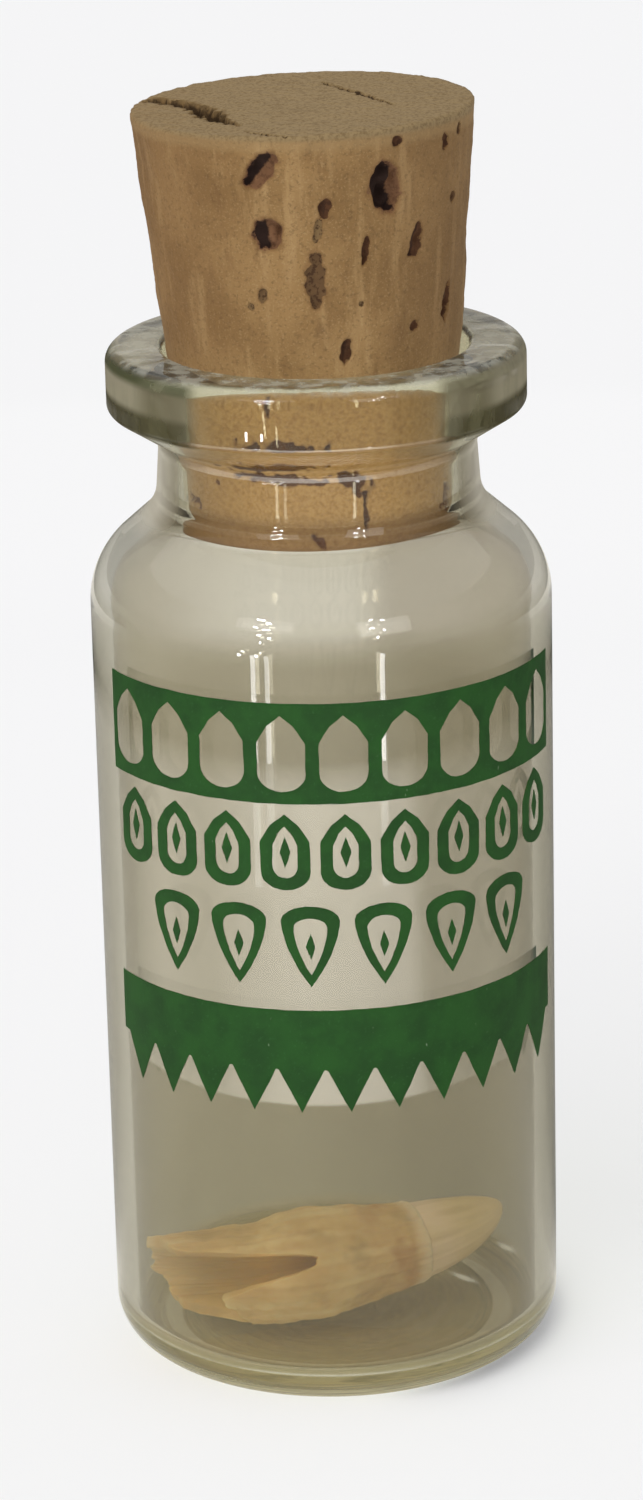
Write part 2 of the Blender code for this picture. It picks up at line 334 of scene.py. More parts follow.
def light_studio():
    scene = bpy.context.scene
    scene.view_settings.view_transform = "Standard"
    sky = bpy.data.worlds.new("studio_air")
    sky.use_nodes = True
    back = sky.node_tree.nodes["Background"]
    feed(back.inputs["Color"], "FFFFFF")
    feed(back.inputs["Strength"], 0.65)
    scene.world = sky
    sun = bpy.data.lights.new("key_window", "SUN")
    sun.energy = 1.44
    sun.angle = math.radians(45)
    key = placed("key_window", sun)
    key.matrix_world = Vector((-0.34, -0.56, 1.0)).to_track_quat("Z", "Y").to_matrix().to_4x4()
    hide_from(key, "glossy", "transmission")
    # Window panes, seen in the shoulder and the lip: azimuth, elevation, width, height, power.
    panes = (
        (-33, 33, 0.034, 0.012, 0.12), (-28, 30, 0.022, 0.016, 0.12), (-34, 24, 0.016, 0.014, 0.07),
        (-28, 22, 0.028, 0.010, 0.10), (-31, 15, 0.018, 0.018, 0.07), (-26, 12, 0.012, 0.020, 0.06),
        (-30, 6, 0.010, 0.020, 0.05), (26, 32, 0.020, 0.010, 0.05), (32, 30, 0.014, 0.012, 0.04),
        (25, 22, 0.018, 0.012, 0.05), (31, 18, 0.012, 0.016, 0.04), (27, 10, 0.010, 0.020, 0.04),
        (-30, 28, 0.24, 0.10, 0.09), (32, 22, 0.22, 0.16, 0.20),
    )
    for index, (azimuth, elevation, width, height, power) in enumerate(panes):
        glint(f"pane_{index}", (azimuth, elevation), PANES_AWAY, (width, height), power)
    # Narrow gaps between window frames, seen in the walls, in the same order.
    frames = (
        (-32, 10, 0.0028, 0.014, 0.0013), (-32, 3, 0.0045, 0.014, 0.0004),
        (-25.5, 10, 0.0028, 0.014, 0.0009), (-25.5, 3, 0.0045, 0.014, 0.0003),
        (27, 10, 0.0028, 0.014, 0.0015), (27, 3, 0.0045, 0.014, 0.0005),
        (-38, 15.2, 0.0018, 0.0034, 0.0007), (-30, 15.2, 0.0016, 0.0034, 0.0006),
        (-36, 19.5, 0.0018, 0.0022, 0.0004), (-28, 19.5, 0.0016, 0.0018, 0.0003),
    )
    for index, (azimuth, elevation, width, height, power) in enumerate(frames):
        glint(f"frame_{index}", (azimuth, elevation), FRAMES_AWAY, (width, height), power, low=0.006)
    # The tooth's walls are thin, and let light through to its hollow.
    inner = bpy.data.lights.new("light_through_root", "POINT")
    inner.energy = 0.00005
    inner.shadow_soft_size = 0.0008
    inner.color = (1.0, 0.93, 0.78)
    hollow_light = placed("light_through_root", inner)
    hollow_light.location = (-0.0033, -0.0047, 0.0045)
    hide_from(hollow_light, "glossy", "camera", "transmission")
    mirrored_table()


# Bottle


def filleted(corners, arc_steps):
    """The points of an outline of (radius, height, fillet) corners, with each fillet as an arc."""
    points = [Vector(corners[0][:2])]
    for before, here, after in zip(corners, corners[1:], corners[2:]):
        corner = Vector(here[:2])
        back = (Vector(before[:2]) - corner).normalized()
        ahead = (Vector(after[:2]) - corner).normalized()
        half = back.angle(ahead) / 2
        fillet = here[2]
        if fillet == 0:
            points.append(corner)
            continue
        centre = corner + (back + ahead).normalized() * fillet / math.sin(half)
        start = corner + back * fillet / math.tan(half) - centre
        end = corner + ahead * fillet / math.tan(half) - centre
        turn = start.angle_signed(end)
        for step in range(arc_steps + 1):
            points.append(centre + Matrix.Rotation(-turn * step / arc_steps, 2) @ start)
    points.append(Vector(corners[-1][:2]))
    return points


def bottle_outline():
    """Inner floor, up the inside, over the lip, down the outside and under to the push-up."""
    inner = BODY_RADIUS - WALL
    return filleted(
        [
            (0.0, 1.0, 0.0),
            (4.5, 1.05, 4.0),
            (inner, 1.25, 1.25),
            (inner, 39.15, 3.2),
            (BORE_RADIUS, 42.2, 0.8),
            (BORE_RADIUS, BORE_FLARE, 3.0),
            (CORK_LIP_RADIUS + GAP, LIP_TOP, 0.4),
            (9.9, LIP_TOP, 0.73),
            (9.9, 47.25, 0.42),
            (7.5, 45.71, 1.01),
            (7.73, 42.54, 2.07),
            (BODY_RADIUS, 39.67, 4.2),
            (BODY_RADIUS, 0.0, 1.95),
            (7.8, 0.0, 0.3),
            (7.0, 0.35, 0.6),
            (0.0, 0.42, 0.0),
        ],
        14,
    )


def turning_tree(point_count):
    """Geometry nodes that turn an outline about Z, with the slow waves of hot glass in its radius."""
    inputs = (
        ("Outline", "Geometry", None), ("Outline points", "Int", point_count), ("Steps round", "Int", 224),
        ("Waviness", "Float", 0.02 * MM), ("Waves per metre", "Float", 110.0), ("Glass", "Material", None),
    )
    tree, put = growing_tree("turned_glass", "Turned", inputs)
    given = put("NodeGroupInput").node.outputs
    columns = put("add", given["Steps round"], 1.0)
    size = {"Size X": 1.0, "Size Y": 1.0, "Vertices X": columns, "Vertices Y": given["Outline points"]}
    sheet = put("GeometryNodeMeshGrid", size)
    place = put("ShaderNodeSeparateXYZ", {0: put("GeometryNodeInputPosition")}).node.outputs
    last = put("subtract", given["Outline points"], 1.0)
    row = put("round", put("multiply", put("add", place["Y"], 0.5), last))
    sampled = {"Geometry": given["Outline"], "Value": put("GeometryNodeInputPosition"), "Index": row}
    profile = put("GeometryNodeSampleIndex", sampled, data_type="FLOAT_VECTOR").node.outputs["Value"]
    turn = put("multiply", place["X"], -2 * math.pi)
    spun = put("ShaderNodeVectorRotate", {"Vector": profile, "Axis": (0, 0, 1), "Angle": turn})
    wave = put("noise", spun, given["Waves per metre"], 1.0)
    swing = put("multiply", put("subtract", wave, 0.5), given["Waviness"])
    radius = put("ShaderNodeSeparateXYZ", {0: profile})
    push = put("multiply", swing, put("multiply", radius, 1 / (BODY_RADIUS * MM)))
    flat = put("ShaderNodeVectorMath", {0: spun, 1: (1, 1, 0)}, operation="MULTIPLY")
    outward = put("ShaderNodeVectorMath", {0: flat}, operation="NORMALIZE")
    moved = put("ShaderNodeVectorMath", {0: outward, "Scale": push}, operation="SCALE")
    final = put("ShaderNodeVectorMath", {0: spun, 1: moved})
    shaped = put("GeometryNodeSetPosition", {"Geometry": sheet, "Position": final})
    welded = put("GeometryNodeMergeByDistance", {"Geometry": shaped, "Distance": 0.0002 * MM})
    smooth = put("GeometryNodeSetShadeSmooth", {"Geometry": welded})
    whole = put("GeometryNodeRealizeInstances", {0: smooth})
    dressed = put("GeometryNodeSetMaterial", {"Geometry": whole, "Material": given["Glass"]})
    put("NodeGroupOutput", {"Turned": dressed})
    return tree


def grown(name, base, tree, values):
    """Runs a geometry node tree on a base mesh object and returns the result as a plain mesh object."""
    modifier = base.modifiers.new("grow", "NODES")
    modifier.node_group = tree
    for item in tree.interface.items_tree:
        if item.in_out == "INPUT" and item.name in values:
            modifier[item.identifier] = values[item.name]
    base.update_tag()
    ready = base.evaluated_get(bpy.context.evaluated_depsgraph_get())
    mesh = bpy.data.meshes.new_from_object(ready)
    mesh.name = name
    base.modifiers.clear()
    bpy.data.objects.remove(base)
    return placed(name, mesh)


def outline_object(points):
    mesh = bpy.data.meshes.new("outline")
    edges = [(i, i + 1) for i in range(len(points) - 1)]
    mesh.from_pydata([(p.x * MM, 0.0, p.y * MM) for p in points], edges, [])
    return placed("outline", mesh)


def glass_finish():
    """Soda-lime bottle glass, pressed and fire-polished, with a thin dry film of dust inside it, and painted
    light and shade on its colour, neck, lip and lower wall.
    """
    made, put, shader = finish_named(
        "soda_lime_glass_pressed", Roughness=0.012, IOR=1.5, Transmission_Weight=1.0, Specular_IOR_Level=0.4
    )
    plain = in_millimetres(put)
    x, y, height = put("ShaderNodeSeparateXYZ", {0: plain}).node.outputs
    radius = put("sqrt", put("add", put("power", x, 2.0), put("power", y, 2.0)))
    edge_on = put("ShaderNodeLayerWeight", {"Blend": 0.5}).node.outputs["Facing"]
    # The same by azimuth alone, whichever way the wall slopes.
    outward = put("ShaderNodeVectorTransform", {0: put("point", x, y)}, vector_type="NORMAL",
                  convert_from="OBJECT", convert_to="WORLD")
    aside = put("ShaderNodeLayerWeight", {"Blend": 0.5, "Normal": outward}).node.outputs["Facing"]
    # The body's colour is painted light and shade: lighter upward, darker on the right, browner at the foot
    # and darkest on its bottom face, and deeper where its wall is seen edge on. The back is painted clearer
    # at the top, and so is the shoulder, most of all in the middle. The neck and the lip are thick, and a
    # little brown, and painted shade darkens the lip's two ends most.
    tint_and_painted_light = washed(
        put, "C7C1AD",
        (height, 3.0, 39.0, 1.0, "CFC9B8"),
        (x, -2.0, 7.0, 0.5, "B2AB98"),
        (height, 2.0, 1.0, 1.0, "C4B28C"),
        (height, 0.30, 0.12, 1.0, "A6956C"),
        (edge_on, 0.42, 0.80, 0.9, "938C78"),
    )
    behind = within(put, (y, -1.0, 2.0), (height, 30.5, 34.0, 0.0, 0.5))
    clear = washed(put, "DBD6CB", (x, -9.0, -2.0, 1.0, "FCF9F2"), (x, 1.0, 3.6, 1.0, "D8D2C7"))
    tint_and_painted_light = washed(
        put, put("mix", behind, tint_and_painted_light, "F0ECE2"),
        (height, 37.2, 39.2, 1.0, clear),
        (height, 41.5, 43.5, 1.0, "E2DCC6"),
        (height, 46.0, 47.6, 1.0, "D9D0B2"),
    )
    # Painted shade where the lip's two ends are seen edge on.
    ends = within(put, (aside, 0.20, 0.34), (height, 46.6, 47.6))
    feed(shader.inputs["Base Color"], put("mix", ends, tint_and_painted_light, "A59D81"))
    # The lip is chipped and pitted in patches, most along its top.
    worn = within(put, (put("noise", plain, 0.30, 1.0), 0.50, 0.62), (height, 49.0, 49.9))
    chips = put("multiply", put("noise", plain, 1.1), worn)
    bumps = put("ShaderNodeBump", {"Strength": 1.0, "Distance": 0.08 * MM, "Height": chips})
    feed(shader.inputs["Normal"], bumps)
    smear = put("noise", in_millimetres(put, (1, 1, 0.25)), 0.5, 4.0, 0.6)
    dust = within(put, (height, 36.0, 4.0, 0.008, 0.03), (smear, 0.3, 0.7, 0.4, 1.6))
    surface = filmed(put, shader.outputs[0], dust, "8E8672")
    # The outside of the foot is scuffed in rings, and the lip's top is dusty.
    outside = put("maximum", put("spread", radius, 10.1, 10.3), put("spread", height, 0.9, 0.6))
    ringed = put("point", put("arctan2", y, x), put("multiply", height, 4.0), radius)
    rings = put("noise", ringed, 1.8, 3.0, 0.6)
    foot = put("multiply", outside, within(put, (height, 1.5, 0.6), (rings, 0.38, 0.60, 0.35, 0.92)))
    dusty = put("noise", plain, 0.9, 4.0, 0.6)
    top = within(put, (dusty, 0.40, 0.62, 0.06, 0.45), (height, 49.75, 50.1))
    grey = washed(put, "BDB491", (height, 10.0, 40.0, 1.0, "C4C3B4"))
    surface = filmed(put, surface, put("maximum", foot, top), grey)
    # Two short painted glints lie on the outside, low on the right: centre, half length, slant.
    for centre, half, slant in (((6.10, -9.1, 6.0), 1.05, 37), ((8.24, -7.2, 6.67), 0.95, 46)):
        lying = {"Vector": plain, "Location": centre, "Rotation": (0, math.radians(slant), 0),
                 "Scale": (half, 4.0, 0.16)}
        near = put("ShaderNodeMapping", lying, vector_type="TEXTURE")
        away = put("ShaderNodeVectorMath", {0: near}, operation="LENGTH").node.outputs["Value"]
        painted_glint = within(put, (away, 1.1, 0.2, 0.0, 0.5), (radius, 10.4, 10.7))
        surface = filmed(put, surface, painted_glint, "C9C4AC")
    # Both sides of the neck, where seen edge on, get painted shade, which turns to a pale painted reflection
    # at the very edge.
    neck = within(
        put, (height, 41.2, 42.7), (height, 47.4, 46.9), (radius, 7.0, 7.3), (aside, 0.38, 0.60, 0.0, 0.84)
    )
    painted_neck_edges = washed(put, "7C7460", (aside, 0.48, 0.84, 1.0, "BDB6A6"))
    surface = filmed(put, surface, neck, painted_neck_edges)
    # Those of the lip get painted shade, brown, darker below, and green along the upper edge, most on the
    # left.
    lip = within(
        put, (radius, 9.2, 9.6), (height, 46.9, 47.2), (height, 50.12, 49.8), (aside, 0.19, 0.26, 0.0, 0.78),
        (smear, 0.3, 0.6, 0.75, 1.1)
    )
    painted_lip_shade = washed(put, "6C6550", (aside, 0.38, 0.56, 1.0, "968F79"), (height, 48.5, 48.0, 1.0, "443F2A"))
    edge = within(put, (height, 49.3, 49.7), (x, 0.0, -4.0, 0.3, 1.0))
    surface = filmed(put, surface, lip, put("mix", edge, painted_lip_shade, "4A4C36"))
    # Lamps and bounced light go straight through, and each face adds a little for what the curved
    # wall would gather, so that they light the tooth. The foot's right side casts a small shadow.
    foot_ring = within(put, (radius, 9.0, 10.0), (height, 1.8, 0.8), (x, 1.0, 8.0))
    passed = {0: put("mix", foot_ring, "FFFFFF", "9C9CA2"), "Scale": 1.035}
    passed = put("ShaderNodeVectorMath", passed, operation="SCALE")
    pass_light(put, made, surface, put("ShaderNodeBsdfTransparent", {"Color": passed}))
    # Iron in the glass takes about a thirtieth of the light in each millimetre, least of it green.
    iron = put("ShaderNodeVolumeAbsorption", {"Color": "AEBC7C", "Density": 55.0})
    feed(made.node_tree.nodes["Material Output"].inputs["Volume"], iron)
    return made


def make_bottle():
    points = bottle_outline()
    glass = glass_finish()
    values = {"Outline points": len(points), "Glass": glass}
    bottle = grown("bottle", outline_object(points), turning_tree(len(points)), values)
    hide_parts("bottle_glass")
    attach(bottle, "root")


# Cork

# Each pit on the side: degrees round from the front, height, width, length, lean, depth.
CORK_PITS = (
    (-14.7, 59.83, 1.15, 2.05, -42, 0.75),
    (-13.6, 56.87, 1.35, 1.55, 5, 0.75),
    (28.0, 58.67, 1.60, 2.40, 6, 0.95),
    (32.3, 60.71, 0.55, 0.48, 0, 0.35),
    (6.6, 57.95, 0.55, 0.95, -10, 0.40),
    (3.6, 57.00, 0.40, 0.95, -14, 0.18),
    (2.2, 54.66, 0.95, 2.45, 0, 0.28),
    (20.5, 55.90, 0.32, 1.20, -10, 0.40),
    (41.1, 55.93, 0.70, 1.62, -14, 0.50),
    (-17.0, 54.04, 0.42, 0.68, 0, 0.25),
    (-21.8, 53.41, 0.30, 0.30, 0, 0.18),
    (55.1, 60.22, 0.45, 0.83, 0, 0.35),
    (63.7, 60.52, 0.45, 0.49, 0, 0.30),
    (61.9, 57.40, 0.50, 0.49, 0, 0.30),
    (60.7, 52.59, 0.62, 1.81, -12, 0.50),
    (41.2, 51.89, 0.50, 0.49, 20, 0.35),
    (12.5, 51.27, 0.55, 1.17, -12, 0.40),
    (18.8, 53.37, 0.22, 0.22, 0, 0.18),
    (-17.3, 48.60, 0.30, 0.59, 0, 0.25),
    (-20.4, 46.61, 4.2, 0.90, 4, 0.60),
    (-17.0, 45.35, 3.7, 0.78, -8, 0.55),
    (-10.6, 45.53, 0.57, 0.68, 0, 0.25),
    (13.3, 45.15, 1.05, 2.00, 48, 0.62),
    (18.4, 43.48, 0.22, 2.60, 0, 0.55),
    (-58.5, 43.49, 1.43, 0.45, 0, 0.55),
    (-43.9, 44.72, 0.33, 0.24, 0, 0.20),
    (-0.9, 42.05, 0.47, 0.70, 20, 0.60),
    (60.2, 43.14, 0.76, 1.47, 0, 0.35),
)
# Each split in the top face: points on it with the half width there, then its depth.
CORK_SPLITS = (
    (((-7.19, 2.05, 0.20), (-6.69, 2.35, 0.44), (-5.6, 1.0, 0.50), (-4.83, 0.03, 0.44),
      (-4.2, -1.9, 0.58), (-3.77, -3.47, 0.36), (-2.81, -4.65, 0.10)), 0.75),
    (((0.96, 4.89, 0.06), (1.9, 3.0, 0.12), (2.9, 1.2, 0.15), (4.17, -1.56, 0.06)), 0.22),
    (((-2.68, -6.18, 0.03), (-1.9, -7.0, 0.10), (-0.74, -7.79, 0.08)), 0.18),
)
CORK_AROUND = 440


def cork_turns():
    """The angles of the cork's columns, closer together across the front, where its pits are drawn."""
    angles = np.linspace(-math.pi, math.pi, 3601)
    crowd = 1 + 1.5 * (1 - eased(np.abs(angles), math.radians(65), math.radians(100)))
    total = np.concatenate(([0.0], np.cumsum((crowd[1:] + crowd[:-1]) / 2)))
    return np.interp(np.arange(CORK_AROUND) / CORK_AROUND * total[-1], total, angles)


def cork_radius(height):
    top = CORK_LIP_RADIUS + (CORK_TOP_RADIUS - CORK_LIP_RADIUS) * (height - LIP_TOP) / (CORK_TOP - LIP_TOP)
    neck = BORE_RADIUS - NECK_GAP
    lip = neck + (CORK_LIP_RADIUS - neck) * np.clip((height - BORE_FLARE) / (LIP_TOP - BORE_FLARE), 0, 1)
    return np.where(height > LIP_TOP, top, lip)


def all_pits():
    """The pits that the front shows, then as many behind, of the same sizes in other places."""
    draw = np.random.default_rng(31)
    pits = list(CORK_PITS)
    for _, _, width, length, lean, depth in CORK_PITS[:18] * 2:
        degrees = draw.uniform(92, 272)
        height = draw.uniform(50.5, 60.4)
        grow = draw.uniform(0.6, 1.1)
        lean += draw.uniform(-15, 15)
        pits.append((degrees, height, width * grow, length * grow, lean, depth * grow))
    return pits


def cork_rings():
    """(radius, height) of each ring of the cork's skin, from its top centre to its foot's centre."""
    edge = 0.22
    flat = np.concatenate((np.linspace(0.4, 2.4, 8), np.linspace(2.55, CORK_TOP_RADIUS - edge, 40)))
    rings = [(r, CORK_TOP) for r in flat]
    for step in range(1, 4):
        turn = math.pi / 2 * step / 4
        radius = CORK_TOP_RADIUS - edge + edge * math.sin(turn)
        rings.append((radius, CORK_TOP - edge + edge * math.cos(turn)))
    above = np.linspace(CORK_TOP - edge, LIP_TOP, 112)
    heights = np.concatenate((above, np.linspace(LIP_TOP - 0.16, CORK_FOOT + 0.25, 46)))
    rings += [(float(cork_radius(h)), h) for h in heights]
    foot = BORE_RADIUS - NECK_GAP
    rings += [(foot - 0.08, CORK_FOOT + 0.06), (foot - 0.25, CORK_FOOT), (foot * 0.6, CORK_FOOT)]
    return rings


def make_cork():
    rings = cork_rings()
    radius = np.repeat([r for r, _ in rings], CORK_AROUND)
    height = np.repeat([h for _, h in rings], CORK_AROUND)
    angle = np.tile(cork_turns(), len(rings))
    points = np.column_stack((radius * np.sin(angle), -radius * np.cos(angle), height))
    side = height < CORK_TOP - 0.05
    coarse, fine, tiny = Lumps(5, 4.5), Lumps(6, 1.1), Lumps(7, 0.42)
    ragged = Lumps(8, 0.55).at(points)

    # Lenticels. away is 1 on a pit's edge and less inside it, and the shader cuts the edge from it.
    sunk = np.zeros(len(points))
    nearest = np.full(len(points), 4.0)
    across_pit = np.zeros(len(points))
    pit_depth = np.zeros(len(points))
    for degrees, at, width, length, lean, depth in all_pits():
        across = (np.degrees(angle) - degrees + 180) % 360 - 180
        across = np.radians(across) * radius
        along = height - at
        tilt = math.radians(lean)
        u = across * math.cos(tilt) + along * math.sin(tilt)
        v = along * math.cos(tilt) - across * math.sin(tilt)
        away = np.sqrt((2 * u / width) ** 2 + (2 * v / length) ** 2)
        away = np.where(side, away, 9.0) + ragged * min(0.20, 0.10 / min(width, length))
        away = away + np.where(height < LIP_TOP, 0.25 * ragged, 0.0)
        floor = 0.72 + 0.28 * fine.at(points)
        sunk = np.maximum(sunk, 0.7 * depth * (1 - eased(away, 0.78, 1.04)) * floor)
        closer = away < nearest
        nearest = np.where(closer, away, nearest)
        across_pit = np.where(closer, np.clip(2 * u / width, -2, 2), across_pit)
        pit_depth = np.where(closer, depth, pit_depth)

    # Splits in the top face, drawn in the same way.
    dropped = np.zeros(len(points))
    split = np.full(len(points), 4.0)
    for path, depth in CORK_SPLITS:
        best = np.full(len(points), 9.0)
        for (x0, y0, w0), (x1, y1, w1) in zip(path, path[1:]):
            span = np.array((x1 - x0, y1 - y0))
            reach = (points[:, 0] - x0) * span[0] + (points[:, 1] - y0) * span[1]
            share = np.clip(reach / (span @ span), 0, 1)
            gap = np.hypot(points[:, 0] - x0 - share * span[0], points[:, 1] - y0 - share * span[1])
            best = np.minimum(best, gap / (w0 + (w1 - w0) * share))
        best = np.where(height > CORK_TOP - 0.3, best + ragged * 0.35, 9.0)
        dropped = np.maximum(dropped, depth * (1 - eased(best, 0.55, 1.1)))
        split = np.minimum(split, best)

    free = eased(height, LIP_TOP - 1.5, LIP_TOP + 1.0)
    swell = 0.035 * coarse.at(points) + 0.011 * fine.at(points) + 0.007 * tiny.at(points)
    inward = np.where(side, sunk - swell * free + 0.03 * (1 - free), 0.0)
    scale = 1 - inward / np.maximum(radius, 0.5)
    points[:, 0] *= scale
    points[:, 1] *= scale
    lid = height > CORK_TOP - 0.3
    points[:, 2] += np.where(lid, 0.02 * fine.at(points) + 0.012 * tiny.at(points) - 0.03, 0.0) - dropped

    top, foot = (0.0, 0.0, CORK_TOP - 0.03), (0.0, 0.0, CORK_FOOT)
    points = np.vstack((top, points, foot)) * MM
    pivot = np.array((0.0, 0.0, (CORK_FOOT + LIP_TOP) / 2 * MM))
    lean = np.array(Matrix.Rotation(CORK_LEAN, 3, "Y"))
    points = (points - pivot) @ lean.T + pivot
    faces = [f[::-1] for f in woven_faces(len(rings), CORK_AROUND)]
    values = {
        "away": np.concatenate(([4], nearest, [4])),
        "across": np.concatenate(([0], across_pit, [0])),
        "deep": np.concatenate(([0], pit_depth, [0])),
        "split": np.concatenate(([4], split, [4])),
    }
    cork = mesh_object("cork", points, faces, cork_finish(), values=values)
    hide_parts("cork_stopper")
    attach(cork, "root")


def cork_finish():
    """Natural bark cork, cut and sanded: dull, speckled at 0.2 mm, streaked along the bark, with painted
    light and shade.
    """
    made, put, shader = finish_named("natural_cork_sanded", Roughness=0.88, Specular_IOR_Level=0.2)
    plain = in_millimetres(put)
    x, _, height = put("ShaderNodeSeparateXYZ", {0: plain}).node.outputs
    patches = put("noise", plain, 0.28, 3.0, 0.55)
    streaks = put("noise", in_millimetres(put, (1.1, 1.1, 0.13)), 1.0, 4.0, 0.6)
    dark = put("noise", in_millimetres(put, (1.0, 1.0, 0.22)), 1.3, 3.0, 0.6)
    speckle = put("noise", plain, 5.5, 2.0, 0.7)
    pale = put("noise", plain, 10.0, 1.0, 0.5)
    # Both sides get painted shade, a little darker than the middle, the right side more.
    base = washed(
        put, "84653D",
        (patches, 0.32, 0.68, 1.0, "99784C"),
        (streaks, 0.50, 0.72, 0.7, "AD8C5E"),
        (dark, 0.56, 0.74, 0.45, "6E5030"),
        (speckle, 0.50, 0.72, 0.45, "5C452A"),
        (pale, 0.54, 0.74, 0.28, "B99C6E"),
        (x, 1.0, 7.5, 0.42, "5A4127"),
        (x, -1.5, -7.0, 0.34, "6B4A2A"),
    )
    # Below the lip, out of the light, it has stayed lighter, and painted light lightens the middle most.
    paler_and_painted_light = within(put, (height, LIP_TOP - 0.6, LIP_TOP - 1.6), (put("absolute", x), 2.0, 6.2, 0.70, 0.26))
    fresh = washed(put, "D9AE72", (speckle, 0.35, 0.70, 1.0, "BA8C54"))
    # Its foot gets painted shade. The sawn top has gone grey-brown, and its upper edge is lighter, partly
    # worn and partly a painted highlight.
    grain = washed(put, "8D7957", (speckle, 0.42, 0.68, 1.0, "725E40"))
    base = washed(
        put, put("mix", paler_and_painted_light, base, fresh),
        (height, 43.6, 42.6, 0.6, "6A4A26"),
        (height, CORK_TOP - 1.0, CORK_TOP - 0.5, 0.35, "A78C62"),
        (height, CORK_TOP - 0.45, CORK_TOP - 0.12, 0.85, grain),
    )
    # Each pit has a bruised margin, a brown floor, and very dark painted shade on its left wall.
    crumbs = put("noise", plain, 3.2, 3.0, 0.65)
    jitter = put("multiply", put("subtract", crumbs, 0.5), 0.5)
    edge = put("add", put("attribute", attribute_name="away"), jitter)
    deep = put("attribute", attribute_name="deep")
    mottled = within(put, (put("noise", plain, 4.5, 2.0, 0.7), 0.48, 0.60), (deep, 0.30, 0.55, 0.75, 0.35))
    floor = washed(put, "7B6240", (deep, 0.18, 0.36, 1.0, "50331E"), (deep, 0.5, 0.7, 1.0, "78553A"))
    floor = put("mix", mottled, floor, "3A2415")
    floor = washed(put, floor, (height, LIP_TOP - 1.0, LIP_TOP - 2.0, 0.8, "683A0C"))
    base = washed(put, base, (edge, 1.3, 1.0, 0.4, "6A4626"), (edge, 1.03, 0.95, 1.0, floor))
    wall = put("add", put("attribute", attribute_name="across"), put("multiply", jitter, 1.2))
    wall = put("subtract", wall, put("spread", deep, 0.75, 0.95, 0.0, 0.45))
    painted_pit_shade = within(put, (wall, 0.10, -0.12), (edge, 0.98, 0.88), (deep, 0.3, 0.65, 0.1, 1.0))
    pit_shade_colour = washed(put, "22120B", (height, LIP_TOP, LIP_TOP - 1.0, 1.0, "5C3208"))
    base = put("mix", painted_pit_shade, base, pit_shade_colour)
    # The splits get painted shade, darkest along their middles.
    torn = put("add", put("attribute", attribute_name="split"), put("multiply", jitter, 1.3))
    base = washed(put, base, (torn, 1.7, 1.1, 0.6, "6B5230"), (torn, 1.2, 0.8, 0.9, "2C1E10"))
    feed(shader.inputs["Base Color"], base)
    bumps = put("ShaderNodeBump", {"Strength": 0.55, "Distance": 0.08 * MM, "Height": speckle})
    feed(shader.inputs["Normal"], bumps)
    return made


# Tooth


def tooth_axis(samples=400):
    points = np.array(interpolate_bezier(*[Vector(p) for p in AXIS], samples))
    steps = np.linalg.norm(np.diff(points, axis=0), axis=1)
    return np.concatenate(([0.0], np.cumsum(steps))), points


AXIS_AT, AXIS_POINTS = tooth_axis()
AXIS_LENGTH = AXIS_AT[-1]


def bump(degrees, centre, before, after):
    off = (degrees - centre + 180) % 360 - 180
    return np.exp(-((off / np.where(off < 0, before, after)) ** 2))


def rim_at(angle):
    """Where the broken rim lies along the axis. The front and upper wall is lost far up the root."""
    degrees = np.degrees(angle)
    slope = 1.5 * (1 + np.cos(np.radians(degrees - 105)))
    notch = 5.6 * bump(degrees, 60, 18, 26) + 2.4 * bump(degrees, 150, 45, 22)
    edge = 0.2 + slope + notch
    ragged = ((0.16, 5, 0.7), (0.12, 9, 2.1), (0.07, 14, 4.0), (0.05, 31, 1.0), (0.04, 47, 2.0))
    for size, waves, start in ragged:
        edge = edge + size * np.sin(waves * angle + start)
    return edge


def root_radius(distance):
    rise = RIM_RADIUS + (BELLY_RADIUS - RIM_RADIUS) * eased(distance, 0.0, BELLY_AT)
    fall = (BELLY_RADIUS - COLLAR_RADIUS) * eased(distance, BELLY_AT, COLLAR_AT)
    return rise - fall


def round_axis(distance, angle, radius):
    """Points round the axis. Angle 0 is up and a quarter turn is towards the front."""
    centre = np.column_stack([np.interp(distance, AXIS_AT, AXIS_POINTS[:, k]) for k in range(3)])
    ahead = np.column_stack([np.interp(distance + 0.05, AXIS_AT, AXIS_POINTS[:, k]) for k in range(3)])
    behind = np.column_stack([np.interp(distance - 0.05, AXIS_AT, AXIS_POINTS[:, k]) for k in range(3)])
    along = ahead - behind
    along /= np.linalg.norm(along, axis=1)[:, None]
    front = -np.cross((0.0, 0.0, 1.0), along)
    front /= np.linalg.norm(front, axis=1)[:, None]
    up = -np.cross(along, front)
    flutes = 1 + 0.018 * np.cos(3 * angle + 1.0) + 0.012 * np.cos(7 * angle + distance * 0.3)
    flat = np.exp(-(((distance - TOP_FLAT_AT) / TOP_FLAT_REACH) ** 2)) * bump(np.degrees(angle), 5, 60, 50)
    reach = radius * flutes * (1 - TOP_FLAT * flat)
    lift = (reach * np.cos(angle))[:, None]
    swing = (reach * ROOT_DEPTH_SHARE * np.sin(angle))[:, None]
    return centre + up * lift + front * swing


